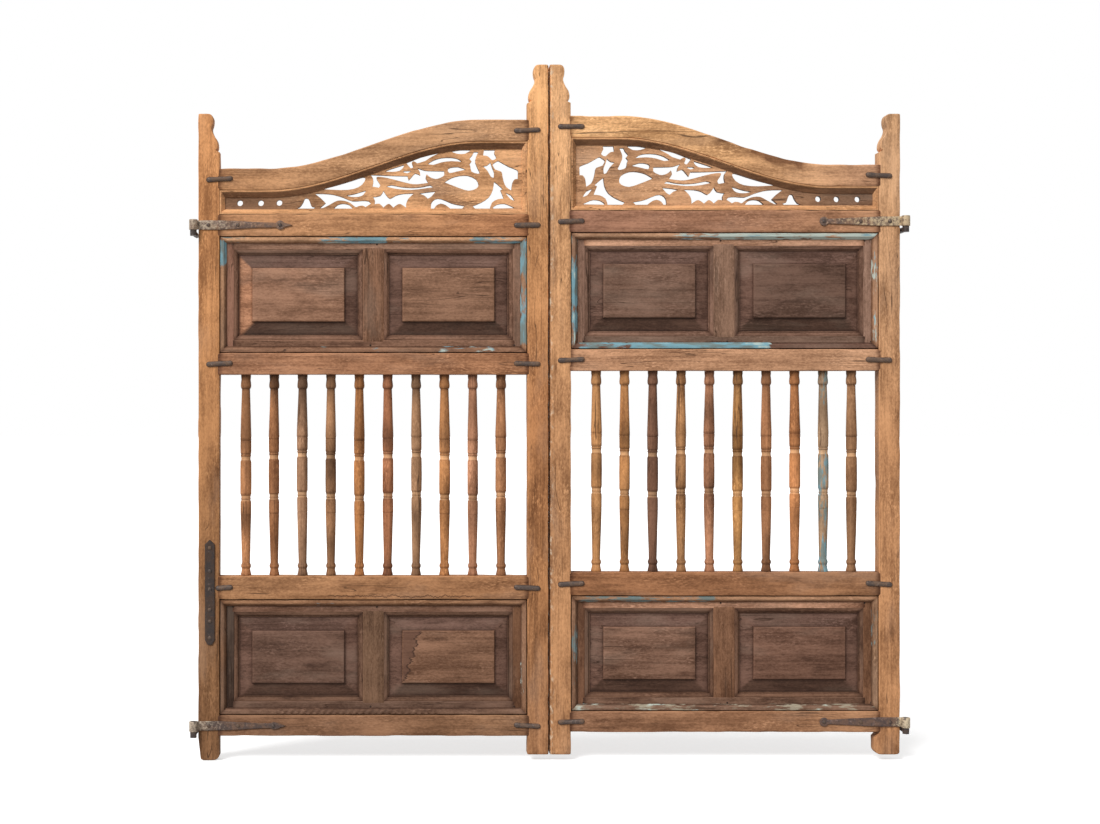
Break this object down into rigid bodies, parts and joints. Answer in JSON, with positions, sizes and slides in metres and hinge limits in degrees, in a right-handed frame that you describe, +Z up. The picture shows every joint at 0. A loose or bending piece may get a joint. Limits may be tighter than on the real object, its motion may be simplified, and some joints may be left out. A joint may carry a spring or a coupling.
{
  "type": "wood and iron gate",
  "caption": "Pair of old wooden gate leaves with pierced carved top panels, turned spindles, raised panels and forged iron strap hinges on wall pintles.",
  "frame": {"origin": "under the seam between the two leaves, at the middle of the leaves' thickness, at the level of the lowest foot", "axes": "+X to the right as seen from the front, +Y from the front to the back, +Z up"},
  "size_m": [1.8704, 0.1005, 1.81],
  "materials": {
    "frame_wood": "old waxed hardwood, worn",
    "carved_wood": "old waxed hardwood, carved and pierced",
    "turned_wood": "old turned hardwood, darker in the grooves",
    "painted_moulding": "old hardwood with remains of pale blue paint",
    "panel_wood": "dark old hardwood, dry",
    "forged_iron": "forged iron with brown rust and pale lime marks"
  },
  "bodies": {
    "pintles": {"wall_pintles": "forged_iron"},
    "left_leaf": {"left_hinge_stile": "frame_wood", "left_meeting_stile": "frame_wood", "left_top_rail": "frame_wood", "left_frieze_rail": "frame_wood", "left_middle_rail": "frame_wood", "left_lower_rail": "frame_wood", "left_bottom_rail": "frame_wood", "left_fretwork": "carved_wood", "left_fretwork_bead": "frame_wood", "left_upper_moulding": "painted_moulding", "left_lower_moulding": "painted_moulding", "left_upper_panel_frame": "panel_wood", "left_lower_panel_frame": "panel_wood", "left_upper_panels": "panel_wood", "left_lower_panels": "panel_wood", "left_upper_strap": "forged_iron", "left_lower_strap": "forged_iron", "left_staples": "forged_iron", "left_nails": "forged_iron", "left_spindle_1": "turned_wood", "left_spindle_2": "turned_wood", "left_spindle_3": "turned_wood", "left_spindle_4": "turned_wood", "left_spindle_5": "turned_wood", "left_spindle_6": "turned_wood", "left_spindle_7": "turned_wood", "left_spindle_8": "turned_wood", "left_spindle_9": "turned_wood", "left_spindle_10": "turned_wood", "left_repair_plate": "forged_iron"},
    "right_leaf": {"right_hinge_stile": "frame_wood", "right_meeting_stile": "frame_wood", "right_top_rail": "frame_wood", "right_frieze_rail": "frame_wood", "right_middle_rail": "frame_wood", "right_lower_rail": "frame_wood", "right_bottom_rail": "frame_wood", "right_fretwork": "carved_wood", "right_fretwork_bead": "frame_wood", "right_upper_moulding": "painted_moulding", "right_lower_moulding": "painted_moulding", "right_upper_panel_frame": "panel_wood", "right_lower_panel_frame": "panel_wood", "right_upper_panels": "panel_wood", "right_lower_panels": "panel_wood", "right_upper_strap": "forged_iron", "right_lower_strap": "forged_iron", "right_staples": "forged_iron", "right_nails": "forged_iron", "right_spindle_1": "turned_wood", "right_spindle_2": "turned_wood", "right_spindle_3": "turned_wood", "right_spindle_4": "turned_wood", "right_spindle_5": "turned_wood", "right_spindle_6": "turned_wood", "right_spindle_7": "turned_wood", "right_spindle_8": "turned_wood", "right_spindle_9": "turned_wood", "right_spindle_10": "turned_wood"}
  },
  "joints": [
    {"name": "left_leaf_swing", "type": "hinge", "parent": "pintles", "child": "left_leaf", "pos_m": [-0.92375, -0.034, 0], "axis": [0, 0, -1], "range_deg": [0, 170]},
    {"name": "right_leaf_swing", "type": "hinge", "parent": "pintles", "child": "right_leaf", "pos_m": [0.92375, -0.034, 0], "axis": [0, 0, 1], "range_deg": [0, 170]}
  ]
}
